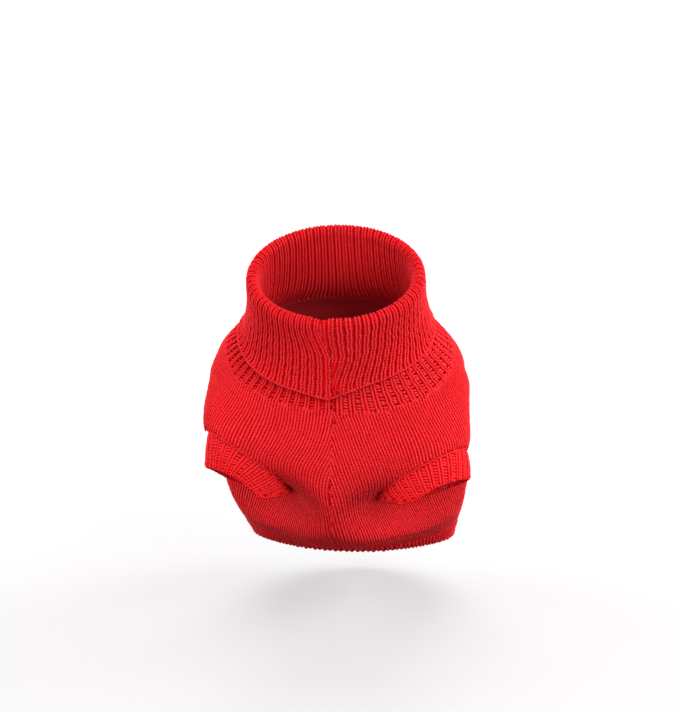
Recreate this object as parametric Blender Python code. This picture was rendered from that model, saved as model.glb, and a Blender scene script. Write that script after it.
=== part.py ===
"""Turtleneck sweater for a small dog, size M, in red rib and stocking knit.

The sweater keeps the hollow form that it takes on a sitting dog: the chest faces
front (-Y), the neck leans forward and the back slopes down behind. It is knitted as
one panel that wraps the body and is sewn shut down the centre front, with a rib neck
that folds over, two rib leg cuffs and a rib hem. The origin is in the middle of the
neck seam, where the wearer's neck carries the garment. Metres, +Z up.
"""

import bpy
import numpy as np

# Cloth, in millimetres
MM = 0.001
BODY_THICK = 1.9          # stocking stitch
RIB_THICK = 1.6           # rib, without its raised wales
RIB_RISE = 0.9            # a knit wale stands this far out of the rib
SEAM_GAP = 0.3            # between pieces, and along the sewn centre front
RIBS_NECK = 68
RIBS_CUFF = 30
RIBS_HEM = 68

# The garment as one shaped tube. Each row is a section through it, from the fold of
# the collar (the first) to the free edge of the hem (the last). A section spans from
# its back point to its front point, and "pinch" narrows its front half towards a
# keel, or squares it where pinch is below zero.
TUBE_SECTIONS = (
    # along, back y, back z, front y, front z, half width, pinch
    (-0.280,   4.3,   64.7,   -62.9,    29.1,   43.0,  0.00),
    (-0.150,  17.8,   42.5,   -52.0,     5.5,   44.5,  0.00),
    (-0.060,  28.4,   28.8,   -46.6,   -12.1,   50.0, -0.02),
    (0.000,   38.0,   21.0,   -46.0,   -27.0,   62.0, -0.05),
    (0.100,   52.0,   13.0,   -56.0,   -43.0,   69.5, -0.15),
    (0.250,   70.0,   -5.0,   -62.0,   -62.0,   69.5, -0.25),
    (0.400,   89.0,  -28.0,   -60.0,   -78.0,   69.5, -0.05),
    (0.550,  110.0,  -55.0,   -48.0,   -92.0,   69.5,  0.25),
    (0.750,  138.0,  -91.0,   -22.0,  -107.0,   66.0,  0.35),
    (1.000,  168.0, -127.0,    10.0,  -118.0,   61.0,  0.20),
    (1.140,  183.0, -146.0,    32.0,  -126.0,   58.0,  0.10),
)
NECK_SEAM = 0.0
HEM_SEAM = 1.0
HEM_EDGE = 1.14
NECK_GAP = 0.003          # in the tube's own length, about 0.4 mm
HEM_GAP = 0.003
COLLAR_FOLD = -0.28

# Collar: the rib rises as a stand, folds at the top and hangs down outside itself
FOLD_GAP = 1.0            # air between the stand and the layer that hangs over it
FLAP_EDGE = (
    # turn from the centre front, along: the V's point hangs lowest
    (-0.500, -0.060),
    (-0.250, -0.048),
    (-0.120, -0.043),
    (-0.060, -0.041),
    (-0.012, -0.030),
    (0.020, -0.052),
    (0.060, -0.069),
    (0.120, -0.076),
    (0.250, -0.072),
    (0.500, -0.060),
)

# Armholes: where each lies on the tube, and the ring that its seam follows. A ring is
# its centre, the way to its outer point, the way to its front point, and how far its
# rear drops. All are for the wearer's left leg (+X) and are mirrored for the other.
ARM_TURN = 0.128
ARM_ALONG = 0.38
ARM_HALF_TURN = 0.070
ARM_HALF_ALONG = 0.20
ARM_RING_TILT = 28.0      # degrees between the ring's start and the tube's own way round
ARM_REACH = 2.1           # the cloth is drawn towards the ring out to this many radii
ARM_SEAM_RING = ((47.7, -29.0, -59.0), (23.0, 3.0, 12.9), (0.4, -25.0, 9.3), 0.0)
CUFF_EDGE_RING = ((48.2, -31.2, -69.1), (22.6, 0.0, 8.4), (-3.0, -24.6, 1.2), 11.0)
CUFF_GAP = 0.7            # the ring is seen as a polygon by each piece, so they stay wider apart
CUFF_BULGE = 1.2          # the cuff stands out between its seam and its edge
CUFF_SLANT = 16.0         # degrees that its ribs run round it on their way to the edge
CUFF_SLANT_SWING = 14.0   # less on the outside of the leg, more on the inside

# The wearer sits a little lower on the left leg: the cloth drops on that side by this
# share of its distance from the middle
SIDE_DROP = 0.055
SIDE_DROP_TABLE = (
    # height, share of the drop
    (-150.0, 0.2),
    (-115.0, 0.4),
    (-80.0, 1.0),
    (-40.0, 1.0),
    (-5.0, 0.5),
    (25.0, 0.0),
    (80.0, 0.0),
)

# Mesh
SECTION_SAMPLES = 360
TUBE_SAMPLES = 143
BACK_STEPS = 26           # body columns round the back, from one armhole to the other
ARM_STEPS = 12            # body columns across an armhole
FRONT_STEPS = 3           # body columns from an armhole to the centre front
UPPER_STEPS = 8           # body rows above the middle of the armholes
LOWER_STEPS = 9           # body rows below it

RED = (0.74, 0.012, 0.018)
DEEP_RED = (0.62, 0.008, 0.012)
KNIT_ROUGHNESS = 0.85


def smooth_table(table, at):
    """Values between a table's rows, on smooth curves. Column 0 is the place."""
    rows = np.array(table, dtype=float)
    place, sizes = rows[:, 0], rows[:, 1:]
    slopes = np.gradient(sizes, place, axis=0)
    at = np.clip(np.asarray(at, dtype=float), place[0], place[-1])
    row = np.clip(np.searchsorted(place, at, side="right") - 1, 0, len(place) - 2)
    span = (place[row + 1] - place[row])[..., None]
    u = (at - place[row])[..., None] / span
    return ((2 * u**3 - 3 * u**2 + 1) * sizes[row] + (u**3 - 2 * u**2 + u) * span * slopes[row]
            + (3 * u**2 - 2 * u**3) * sizes[row + 1] + (u**3 - u**2) * span * slopes[row + 1])


def ease(value):
    """0 to 1 with soft ends."""
    value = np.clip(value, 0.0, 1.0)
    return value * value * (3.0 - 2.0 * value)


def section_point(angle, along):
    """A point of the tube, by the angle round its section from the front."""
    sizes = smooth_table(TUBE_SECTIONS, along)
    back_y, back_z, front_y, front_z, half_width, pinch = np.moveaxis(sizes, -1, 0)
    forward = np.cos(angle)
    narrowing = 1.0 - pinch * np.maximum(forward, 0.0)**2
    x = half_width * np.sin(angle) * narrowing
    y = (back_y + front_y) / 2 + (front_y - back_y) / 2 * forward
    z = (back_z + front_z) / 2 + (front_z - back_z) / 2 * forward
    return np.stack([x, y, z], axis=-1)


def even_angles():
    """For each section, the angles that divide its girth into equal steps."""
    alongs = np.linspace(COLLAR_FOLD, HEM_EDGE, TUBE_SAMPLES)
    angles = np.linspace(0.0, 2 * np.pi, SECTION_SAMPLES + 1)
    girth = section_point(*np.meshgrid(angles, alongs))
    steps = np.linalg.norm(np.diff(girth, axis=1), axis=2)
    reached = np.concatenate([np.zeros((TUBE_SAMPLES, 1)), np.cumsum(steps, axis=1)], axis=1)
    turns = np.linspace(0.0, 1.0, SECTION_SAMPLES + 1)
    return np.array([np.interp(turns, row / row[-1], angles) for row in reached])


EVEN_ANGLES = even_angles()


def tube_point(turn, along):
    """A point of the plain tube: turn runs 0 to 1 round it from the centre front."""
    row = (np.asarray(along, float) - COLLAR_FOLD) / (HEM_EDGE - COLLAR_FOLD) * (TUBE_SAMPLES - 1)
    column = np.asarray(turn, float) * SECTION_SAMPLES
    row_low = np.clip(row.astype(int), 0, TUBE_SAMPLES - 2)
    column_low = np.clip(column.astype(int), 0, SECTION_SAMPLES - 1)
    u, v = row - row_low, column - column_low
    angle = ((1 - u) * ((1 - v) * EVEN_ANGLES[row_low, column_low]
                        + v * EVEN_ANGLES[row_low, column_low + 1])
             + u * ((1 - v) * EVEN_ANGLES[row_low + 1, column_low]
                    + v * EVEN_ANGLES[row_low + 1, column_low + 1]))
    return section_point(angle, along)


def ring_point(ring, angle):
    """A point of an armhole or cuff ring: angle 0 is outward, 90 degrees is front."""
    centre, outward, front, rear_drop = ring
    outward_part, front_part = np.cos(angle)[..., None], np.sin(angle)[..., None]
    drop = rear_drop * ((1.0 - front_part) / 2)**2 * np.array([0.0, 0.0, -1.0])
    return np.array(centre) + outward_part * np.array(outward) + front_part * np.array(front) + drop


def mirrored(points):
    return points * np.array([-1.0, 1.0, 1.0])


def armhole_place(angle):
    """Where on the tube an armhole's edge lies, as turn and along."""
    return (ARM_TURN + ARM_HALF_TURN * np.cos(angle), ARM_ALONG - ARM_HALF_ALONG * np.sin(angle))


def armhole_pull(turn, along):
    """How far the cloth is drawn towards the ring of the armhole on its side."""
    far_side = turn > 0.5
    near_turn = np.where(far_side, 1.0 - turn, turn)
    sideways = (near_turn - ARM_TURN) / ARM_HALF_TURN
    upwards = (ARM_ALONG - along) / ARM_HALF_ALONG
    angle = np.arctan2(upwards, sideways)
    distance = np.hypot(sideways, upwards)
    share = ease((ARM_REACH - distance) / (ARM_REACH - 1.0))[..., None]
    target = ring_point(ARM_SEAM_RING, angle - np.radians(ARM_RING_TILT))
    pull = share * (target - tube_point(*armhole_place(angle)))
    return np.where(far_side[..., None], mirrored(pull), pull)


def settle(points):
    """Drops the cloth towards the wearer's left, more where the table says."""
    share = smooth_table(SIDE_DROP_TABLE, points[..., 2])[..., 0]
    settled = points.copy()
    settled[..., 2] -= SIDE_DROP * share * points[..., 0]
    return settled


def garment_point(turn, along):
    """The middle of the cloth, anywhere from the collar's fold to the hem's edge."""
    turn, along = np.broadcast_arrays(np.asarray(turn, float), np.asarray(along, float))
    return settle(tube_point(turn, along) + armhole_pull(turn, along))


def garment_normal(turn, along):
    """The way out of the cloth, from small steps along and round it."""
    step_turn, step_along = 0.004, 0.008
    turn, along = np.broadcast_arrays(np.asarray(turn, float), np.asarray(along, float))
    low, high = np.maximum(along - step_along, COLLAR_FOLD), np.minimum(along + step_along, HEM_EDGE)
    down = garment_point(turn, high) - garment_point(turn, low)
    round_it = garment_point((turn + step_turn) % 1.0, along) - garment_point((turn - step_turn) % 1.0, along)
    normal = np.cross(down, round_it)
    return normal / np.linalg.norm(normal, axis=-1, keepdims=True)


def knit_material(name, color):
    material = bpy.data.materials.new(name)
    material.use_nodes = True
    shader = material.node_tree.nodes["Principled BSDF"]
    shader.inputs["Base Color"].default_value = (*color, 1.0)
    shader.inputs["Roughness"].default_value = KNIT_ROUGHNESS
    shader.inputs["Metallic"].default_value = 0.0
    return material


def add_piece(name, points, faces, color, collection):
    mesh = bpy.data.meshes.new(name)
    mesh.from_pydata((points * MM).tolist(), [], faces)
    mesh.validate()
    piece = bpy.data.objects.new(name, mesh)
    mesh.materials.append(knit_material(name, color))
    collection.objects.link(piece)
    return piece


def ring_wall(name, loops, color, collection):
    """A closed wall round an opening, from the loops that its section passes through."""
    count, columns = len(loops), len(loops[0])
    faces = []
    for row in range(count):
        here, there = row * columns, (row + 1) % count * columns
        for column in range(columns):
            beside = (column + 1) % columns
            faces.append((here + column, here + beside, there + beside, there + column))
    return add_piece(name, np.concatenate(loops), faces, color, collection)


def rib_turns(ribs):
    """Two columns for each rib, and 1 on its raised wale, 0 in its sunk one."""
    turns = np.arange(2 * ribs) / (2 * ribs)
    return turns, np.tile([1.0, 0.0], ribs)


def body_sheet():
    """The panel's turn and along values, as two bands that part at the armholes."""
    arm_sweep = np.cos(np.linspace(np.pi, 0.0, ARM_STEPS + 1))
    near_hole = ARM_TURN + ARM_HALF_TURN * arm_sweep
    far_hole = 1.0 - near_hole[::-1]
    to_front = np.linspace(0.0, near_hole[0], FRONT_STEPS + 1)[:-1]
    over_back = np.linspace(near_hole[-1], far_hole[0], BACK_STEPS + 1)[1:-1]
    turns = np.concatenate([to_front, near_hole, over_back, far_hole, 1.0 - to_front[::-1]])
    near_turns = np.minimum(turns, 1.0 - turns)
    reach = np.clip(1.0 - ((near_turns - ARM_TURN) / ARM_HALF_TURN)**2, 0.0, None)
    opening = ARM_HALF_ALONG * np.sqrt(np.where(reach < 1e-9, 0.0, reach))
    rows, index, vertices = [], {}, []
    for band, steps in (("upper", UPPER_STEPS), ("lower", LOWER_STEPS)):
        for step in range(steps + 1):
            for column, turn in enumerate(turns):
                share = step / steps
                if band == "upper":
                    along = NECK_SEAM + (ARM_ALONG - opening[column] - NECK_SEAM) * share
                else:
                    top = ARM_ALONG + opening[column]
                    along = top + (HEM_SEAM - top) * share
                shared_edge = band == "lower" and step == 0 and opening[column] == 0.0
                if shared_edge:
                    index[band, step, column] = index["upper", UPPER_STEPS, column]
                    continue
                index[band, step, column] = len(vertices)
                vertices.append((turn, along))
    for band, steps in (("upper", UPPER_STEPS), ("lower", LOWER_STEPS)):
        for step in range(steps):
            for column in range(len(turns) - 1):
                rows.append((index[band, step, column], index[band, step + 1, column],
                             index[band, step + 1, column + 1], index[band, step, column + 1]))
    return np.array(vertices), rows


def sheet_normals(points, faces):
    normals = np.zeros_like(points)
    for face in faces:
        a, b, c, d = (points[corner] for corner in face)
        normals[list(face)] += np.cross(c - a, d - b)
    return normals / np.linalg.norm(normals, axis=1, keepdims=True)


def open_edges(faces):
    """The sheet's edges that only one face uses, each in that face's direction."""
    directed = {(face[k], face[(k + 1) % 4]) for face in faces for k in range(4)}
    return [edge for edge in directed if (edge[1], edge[0]) not in directed]


def build_body(collection):
    places, faces = body_sheet()
    points = garment_point(places[:, 0], places[:, 1])
    near_edge, far_edge = places[:, 0] == 0.0, places[:, 0] == 1.0
    normals = sheet_normals(points, faces)
    for edge, side in ((near_edge, 1.0), (far_edge, -1.0)):
        points[edge, 0] += side * SEAM_GAP / 2
        normals[edge, 0] = 0.0
    normals /= np.linalg.norm(normals, axis=1, keepdims=True)
    count = len(points)
    wall_points = np.concatenate([points + normals * BODY_THICK / 2, points - normals * BODY_THICK / 2])
    inside = [tuple(corner + count for corner in reversed(face)) for face in faces]
    rims = [(b, a, a + count, b + count) for a, b in sorted(open_edges(faces))]
    return add_piece("body", wall_points, faces + inside + rims, RED, collection)


def flap_edge(turn):
    """Where the collar's hanging layer ends: nearly level, with a V at the front."""
    signed_turn = (turn + 0.5) % 1.0 - 0.5
    return np.interp(signed_turn, *np.transpose(FLAP_EDGE))


def build_collar(collection):
    """One rib wall: up the stand, over the fold and down outside to the V edge."""
    turns, raised = rib_turns(RIBS_NECK)
    loops = []

    def loop(along, out, rise=0.0):
        along = np.broadcast_to(along, turns.shape)
        normal = garment_normal(turns, along)
        offset = out + rise * RIB_RISE * raised
        loops.append(garment_point(turns, along) + normal * offset[..., None])

    half = RIB_THICK / 2
    flap_inner = half + RIB_RISE + FOLD_GAP
    flap_outer = flap_inner + RIB_THICK
    fold_middle = (flap_outer - half) / 2
    seam = NECK_SEAM - NECK_GAP
    edge = flap_edge(turns)
    top = COLLAR_FOLD + 0.02
    # up the stand's outside, over inside the fold, and down the flap's inside
    for along, rise in ((seam, 1.0), (-0.03, 1.0), (-0.06, 1.0), (-0.12, 0.5), (-0.20, 0.3), (top, 0.0)):
        loop(along, half, rise)
    for along in (top, -0.20, -0.12):
        loop(along, flap_inner)
    loop(edge, flap_inner)
    # up the flap's outside, over the fold, and down the stand's inside
    loop(edge, flap_outer, 1.0)
    for share in (0.2, 0.45, 0.7, 0.9):
        loop(edge + (top - edge) * share, flap_outer, 1.0)
    loop(top, flap_outer, 1.0)
    loop(COLLAR_FOLD + 0.008, fold_middle + (flap_outer - fold_middle) * 0.7, 0.8)
    loop(COLLAR_FOLD, fold_middle, 0.4)
    loop(COLLAR_FOLD + 0.008, fold_middle - (flap_outer - fold_middle) * 0.7)
    for along in (top, -0.14, -0.05, seam):
        loop(along, -half)
    return ring_wall("collar", loops, RED, collection)


def cuff_sheet(angle, share):
    """The middle of the left leg's cuff, from its seam (share 0) to its edge (1)."""
    slanted = angle - np.radians(CUFF_SLANT - CUFF_SLANT_SWING * np.cos(angle))
    seam, edge = ring_point(ARM_SEAM_RING, angle), ring_point(CUFF_EDGE_RING, slanted)
    middle = np.array(ARM_SEAM_RING[0]) * (1 - share)[..., None] + np.array(CUFF_EDGE_RING[0]) * share[..., None]
    points = seam + (edge - seam) * share[..., None]
    away = points - middle
    away /= np.linalg.norm(away, axis=-1, keepdims=True)
    return points + away * (CUFF_BULGE * 4 * share * (1 - share))[..., None]


def cuff_normal(angle, share):
    step = 0.02
    down = cuff_sheet(angle, share + step) - cuff_sheet(angle, share - step)
    round_it = cuff_sheet(angle - step, share) - cuff_sheet(angle + step, share)
    normal = np.cross(down, round_it)
    return normal / np.linalg.norm(normal, axis=-1, keepdims=True)


def build_cuff(name, mirror, collection):
    """A rib tube that carries the armhole's edge on down the leg."""
    turns, raised = rib_turns(RIBS_CUFF)
    angle = -2 * np.pi * turns
    zero = np.zeros_like(angle)
    edge_turn, edge_along = armhole_place(angle + np.radians(ARM_RING_TILT))
    panel_normal = garment_normal(edge_turn, edge_along)
    agreement = np.sum(panel_normal * cuff_normal(angle, zero), axis=1)
    slant = np.sqrt(np.clip(1 - agreement**2, 0, 1))
    length = np.linalg.norm(cuff_sheet(angle, zero + 1) - cuff_sheet(angle, zero), axis=1)
    start = (CUFF_GAP + BODY_THICK / 2 * slant) / length
    outer, inner = RIB_THICK / 2, -RIB_THICK / 2
    inset = ((outer + RIB_RISE + CUFF_GAP) * (1 - np.clip(agreement, 0, 1))
             + BODY_THICK / 2 * np.clip(-agreement, 0, 1))
    loops = []
    for shares, offset, rise in (((1.0, 0.5, 0.0), inner, 0.0), ((0.0, 0.3, 0.65, 1.0), outer, RIB_RISE)):
        for share in shares:
            place = start + (1 - start) * share
            out = offset + rise * raised - inset * (1 - share)**2
            points = cuff_sheet(angle, place) + cuff_normal(angle, place) * out[:, None]
            loops.append(settle(mirrored(points) if mirror else points))
    if not mirror:
        loops.reverse()
    return ring_wall(name, loops, DEEP_RED, collection)


def build_hem(collection):
    """The rib band that closes the panel's lower edge."""
    turns, raised = rib_turns(RIBS_HEM)
    seam = HEM_SEAM + HEM_GAP
    loops = []
    for alongs, offset, rise in (((HEM_EDGE, 1.07, seam), -RIB_THICK / 2, 0.0),
                                 ((seam, 1.03, 1.09, HEM_EDGE), RIB_THICK / 2, RIB_RISE)):
        for along in alongs:
            normal = garment_normal(turns, along)
            loops.append(garment_point(turns, along) + normal * (offset + rise * raised)[:, None])
    loops.reverse()
    return ring_wall("hem_band", loops, DEEP_RED, collection)


def build_sweater():
    for item in list(bpy.data.objects):
        bpy.data.objects.remove(item)
    sweater = bpy.data.collections.new("dog_sweater")
    bpy.context.scene.collection.children.link(sweater)
    build_body(sweater)
    build_collar(sweater)
    build_cuff("cuff_left_leg", False, sweater)
    build_cuff("cuff_right_leg", True, sweater)
    build_hem(sweater)


build_sweater()
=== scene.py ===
import bpy
import numpy as np
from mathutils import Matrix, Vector


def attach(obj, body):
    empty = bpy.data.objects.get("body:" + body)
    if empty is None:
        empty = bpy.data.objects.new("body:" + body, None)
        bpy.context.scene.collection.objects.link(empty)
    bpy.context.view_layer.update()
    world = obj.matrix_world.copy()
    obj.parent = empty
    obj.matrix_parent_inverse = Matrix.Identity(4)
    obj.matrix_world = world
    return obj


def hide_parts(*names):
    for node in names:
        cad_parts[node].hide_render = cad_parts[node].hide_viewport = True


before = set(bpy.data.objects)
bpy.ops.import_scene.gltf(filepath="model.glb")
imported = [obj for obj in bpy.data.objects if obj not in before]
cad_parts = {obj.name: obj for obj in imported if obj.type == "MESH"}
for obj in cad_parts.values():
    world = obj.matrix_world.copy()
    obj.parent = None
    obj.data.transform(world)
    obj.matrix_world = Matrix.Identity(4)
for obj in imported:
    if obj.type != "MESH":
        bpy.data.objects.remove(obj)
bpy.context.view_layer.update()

# ---------------------------------------------------------------------------------
# Body panel: one sheet of stocking stitch in red acrylic yarn. It wraps the dog, is
# sewn shut down the centre front and is open round both forelegs. Its yarn is laid
# leg by leg on a thin backing that has the form of the fixed model's wall.
# ---------------------------------------------------------------------------------
MM = 0.001

# Sections through the whole garment, from the collar's fold to the hem's free edge
TUBE_SECTIONS = (
    # along, back y, back z, front y, front z, half width, pinch
    (-0.280,   4.3,   64.7,   -62.9,    29.1,   43.0,  0.00),
    (-0.150,  17.8,   42.5,   -52.0,     5.5,   44.5,  0.00),
    (-0.060,  28.4,   28.8,   -46.6,   -12.1,   50.0, -0.02),
    (0.000,   38.0,   21.0,   -46.0,   -27.0,   62.0, -0.05),
    (0.100,   52.0,   13.0,   -56.0,   -43.0,   69.5, -0.15),
    (0.250,   70.0,   -5.0,   -62.0,   -62.0,   69.5, -0.25),
    (0.400,   89.0,  -28.0,   -60.0,   -78.0,   69.5, -0.05),
    (0.550,  110.0,  -55.0,   -48.0,   -92.0,   69.5,  0.25),
    (0.750,  138.0,  -91.0,   -22.0,  -107.0,   66.0,  0.35),
    (1.000,  168.0, -127.0,    10.0,  -118.0,   61.0,  0.20),
    (1.140,  183.0, -146.0,    32.0,  -126.0,   58.0,  0.10),
)
COLLAR_FOLD, NECK_SEAM, HEM_SEAM, HEM_EDGE = -0.28, 0.0, 1.0, 1.14
SECTION_SAMPLES, TUBE_SAMPLES = 360, 143

# Armholes, on the tube and as the ring that each seam follows: its centre, the way to
# its outer point, the way to its front point, and its rear's drop
ARM_TURN, ARM_ALONG, ARM_HALF_TURN, ARM_HALF_ALONG = 0.128, 0.38, 0.070, 0.20
ARM_RING_TILT, ARM_REACH = 28.0, 2.1
ARM_SEAM_RING = ((47.7, -29.0, -59.0), (23.0, 3.0, 12.9), (0.4, -25.0, 9.3), 0.0)

# The cloth hangs lower on the wearer's left by this share of its way from the middle
SIDE_DROP = 0.055
SIDE_DROP_TABLE = (
    # height, share of the drop
    (-150.0, 0.2),
    (-115.0, 0.4),
    (-80.0, 1.0),
    (-40.0, 1.0),
    (-5.0, 0.5),
    (25.0, 0.0),
    (80.0, 0.0),
)


def smooth_table(table, at):
    """Values between a table's rows, on smooth curves. Column 0 is the place."""
    rows = np.array(table, dtype=float)
    place, sizes = rows[:, 0], rows[:, 1:]
    slopes = np.gradient(sizes, place, axis=0)
    at = np.clip(np.asarray(at, dtype=float), place[0], place[-1])
    row = np.clip(np.searchsorted(place, at, side="right") - 1, 0, len(place) - 2)
    span = (place[row + 1] - place[row])[..., None]
    u = (at - place[row])[..., None] / span
    return ((2 * u**3 - 3 * u**2 + 1) * sizes[row] + (u**3 - 2 * u**2 + u) * span * slopes[row]
            + (3 * u**2 - 2 * u**3) * sizes[row + 1] + (u**3 - u**2) * span * slopes[row + 1])


def ease(value):
    """0 to 1 with soft ends."""
    value = np.clip(value, 0.0, 1.0)
    return value * value * (3.0 - 2.0 * value)


def unit(vectors):
    return vectors / np.linalg.norm(vectors, axis=-1, keepdims=True)


def section_point(angle, along):
    """A point of the tube, by the angle round its section from the front."""
    back_y, back_z, front_y, front_z, half_width, pinch = np.moveaxis(
        smooth_table(TUBE_SECTIONS, along), -1, 0)
    forward = np.cos(angle)
    x = half_width * np.sin(angle) * (1.0 - pinch * np.maximum(forward, 0.0)**2)
    y = (back_y + front_y) / 2 + (front_y - back_y) / 2 * forward
    z = (back_z + front_z) / 2 + (front_z - back_z) / 2 * forward
    return np.stack([x, y, z], axis=-1)


def even_angles():
    """For each section, the angles that divide its girth into equal steps."""
    alongs = np.linspace(COLLAR_FOLD, HEM_EDGE, TUBE_SAMPLES)
    angles = np.linspace(0.0, 2 * np.pi, SECTION_SAMPLES + 1)
    girth = section_point(*np.meshgrid(angles, alongs))
    steps = np.linalg.norm(np.diff(girth, axis=1), axis=2)
    reached = np.concatenate([np.zeros((TUBE_SAMPLES, 1)), np.cumsum(steps, axis=1)], axis=1)
    turns = np.linspace(0.0, 1.0, SECTION_SAMPLES + 1)
    return np.array([np.interp(turns, row / row[-1], angles) for row in reached])


EVEN_ANGLES = even_angles()


def between(grid, row, column):
    """Values between the points of a grid, by fractional row and column."""
    row_low = np.clip(row.astype(int), 0, grid.shape[0] - 2)
    column_low = np.clip(column.astype(int), 0, grid.shape[1] - 2)
    u, v = row - row_low, column - column_low
    return ((1 - u) * ((1 - v) * grid[row_low, column_low] + v * grid[row_low, column_low + 1])
            + u * ((1 - v) * grid[row_low + 1, column_low] + v * grid[row_low + 1, column_low + 1]))


def tube_point(turn, along):
    """A point of the plain tube: turn runs 0 to 1 round it from the centre front."""
    row = (along - COLLAR_FOLD) / (HEM_EDGE - COLLAR_FOLD) * (TUBE_SAMPLES - 1)
    return section_point(between(EVEN_ANGLES, row, turn * SECTION_SAMPLES), along)


def ring_point(ring, angle):
    """A point of an armhole or cuff ring: angle 0 is outward, 90 degrees is front."""
    centre, outward, front, rear_drop = ring
    outward_part, front_part = np.cos(angle)[..., None], np.sin(angle)[..., None]
    drop = rear_drop * ((1.0 - front_part) / 2)**2 * np.array([0.0, 0.0, -1.0])
    return np.array(centre) + outward_part * np.array(outward) + front_part * np.array(front) + drop


def mirrored(points):
    return points * np.array([-1.0, 1.0, 1.0])


def armhole_place(angle):
    """Where on the tube an armhole's edge lies, as turn and along."""
    return (ARM_TURN + ARM_HALF_TURN * np.cos(angle), ARM_ALONG - ARM_HALF_ALONG * np.sin(angle))


def armhole_distance(turn, along):
    """The way from an armhole's middle, 1 at its edge, and the angle round it."""
    sideways = (np.minimum(turn, 1.0 - turn) - ARM_TURN) / ARM_HALF_TURN
    upwards = (ARM_ALONG - along) / ARM_HALF_ALONG
    return np.hypot(sideways, upwards), np.arctan2(upwards, sideways)


def armhole_pull(turn, along):
    """How far the cloth is drawn towards the ring of the armhole on its side."""
    distance, angle = armhole_distance(turn, along)
    share = ease((ARM_REACH - distance) / (ARM_REACH - 1.0))[..., None]
    target = ring_point(ARM_SEAM_RING, angle - np.radians(ARM_RING_TILT))
    pull = share * (target - tube_point(*armhole_place(angle)))
    return np.where((turn > 0.5)[..., None], mirrored(pull), pull)


def settle(points):
    """Drops the cloth towards the wearer's left, more where the table says."""
    settled = points.copy()
    settled[..., 2] -= SIDE_DROP * smooth_table(SIDE_DROP_TABLE, points[..., 2])[..., 0] * points[..., 0]
    return settled


def garment_point(turn, along):
    """The middle of the cloth, anywhere from the collar's fold to the hem's edge."""
    turn, along = np.broadcast_arrays(np.asarray(turn, float), np.asarray(along, float))
    return settle(tube_point(turn, along) + armhole_pull(turn, along))


def garment_normal(turn, along):
    """The way out of the cloth, from small steps along and round it."""
    step_turn, step_along = 0.004, 0.008
    turn, along = np.broadcast_arrays(np.asarray(turn, float), np.asarray(along, float))
    low, high = np.maximum(along - step_along, COLLAR_FOLD), np.minimum(along + step_along, HEM_EDGE)
    down = garment_point(turn, high) - garment_point(turn, low)
    round_it = (garment_point((turn + step_turn) % 1.0, along)
                - garment_point((turn - step_turn) % 1.0, along))
    return unit(np.cross(down, round_it))


def above_cloth(turn, along, out):
    return garment_point(turn, along) + garment_normal(turn, along) * np.asarray(out)[..., None]


# Soft creases in the worn cloth: where the middle of each lies, the way that it runs,
# its length and width, and how deep it is
CREASES = (
    # turn, along, degrees from straight down, length, width, depth
    (0.300, 0.20, 38.0, 50.0, 11.0, 1.9),
    (0.690, 0.25, -34.0, 56.0, 12.0, 2.1),
    (0.255, 0.46, 62.0, 40.0, 8.0, 1.8),
    (0.750, 0.50, -66.0, 46.0, 9.0, 2.0),
    (0.330, 0.70, 80.0, 60.0, 11.0, 2.6),
    (0.640, 0.78, -84.0, 66.0, 12.0, 2.7),
    (0.470, 0.86, 88.0, 80.0, 10.0, 2.2),
    (0.420, 0.34, 58.0, 70.0, 13.0, 1.7),
    (0.085, 0.80, 70.0, 34.0, 9.0, 0.9),
    (0.925, 0.76, -62.0, 30.0, 9.0, 0.9),
)
GIRTH, FRONT_LENGTH = 460.0, 150.0     # what a turn and an along measure, near enough


def crease_depth(turn, along):
    depth = np.zeros(np.broadcast(turn, along).shape)
    for middle_turn, middle_along, degrees, length, width, deepest in CREASES:
        sideways, downwards = (turn - middle_turn) * GIRTH, (along - middle_along) * FRONT_LENGTH
        run = np.radians(degrees)
        down_it = downwards * np.cos(run) + sideways * np.sin(run)
        across_it = sideways * np.cos(run) - downwards * np.sin(run)
        depth += deepest * np.exp(-(across_it / width * 2)**2 - (down_it / length * 2)**2)
    return depth * ease(along / 0.08) * ease((1.0 - along) / 0.06)


# The stitches. Wales run down the cloth, courses run round it. The two edges of the
# panel were shaped, so wales come out of the centre-front seam as it goes down.
WALES_FRONT, WALES_BACK = 100, 136     # wales in a whole turn, by the density at the front and back
COURSE = 1.65
SEAM_WALES = (
    # along, wales that have come out of the seam on the wearer's right, and on the left
    (0.00, 0.0, 0.0),
    (0.06, 0.5, 1.4),
    (0.12, 1.4, 2.5),
    (0.20, 2.8, 3.6),
    (0.26, 3.2, 4.2),
    (0.34, 3.2, 4.8),
    (0.44, 2.9, 5.4),
    (0.60, 2.4, 6.0),
    (1.00, 2.0, 6.4),
)
DRIFT_EVEN, DRIFT_GONE = 0.05, 0.25    # turns between which that drift of the wales dies out
SEAM_DIP, SEAM_DIP_WIDTH = 0.7, 1.5
SEAM_TOP_DIP = 1.0                     # the pucker where the seam meets the collar
BACKING_OUT, BACKING_IN = 0.5, -0.95   # faces of the backing, from the cloth's middle
BACKING_DIP, SEAM_GAP = 0.8, 0.1       # at the seam: the backing's most dip, and half of its gap
YARN_OUT = 0.55                        # the yarn's own middle
BESIDE_HOLE = 1.03                     # the wales end this share of the way out of an armhole
CHAIN_LENGTH, CHAIN_ROWS = 0.66, 40    # half a loop's length in steps, and the rows of its map


def seam_dip(turn, along):
    """How deep the cloth is drawn in at the centre-front seam."""
    from_seam = np.minimum(turn, 1.0 - turn) * GIRTH
    deepest = SEAM_DIP + SEAM_TOP_DIP * np.exp(-(along / 0.03)**2)
    return deepest * np.exp(-(from_seam / SEAM_DIP_WIDTH)**2)


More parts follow.
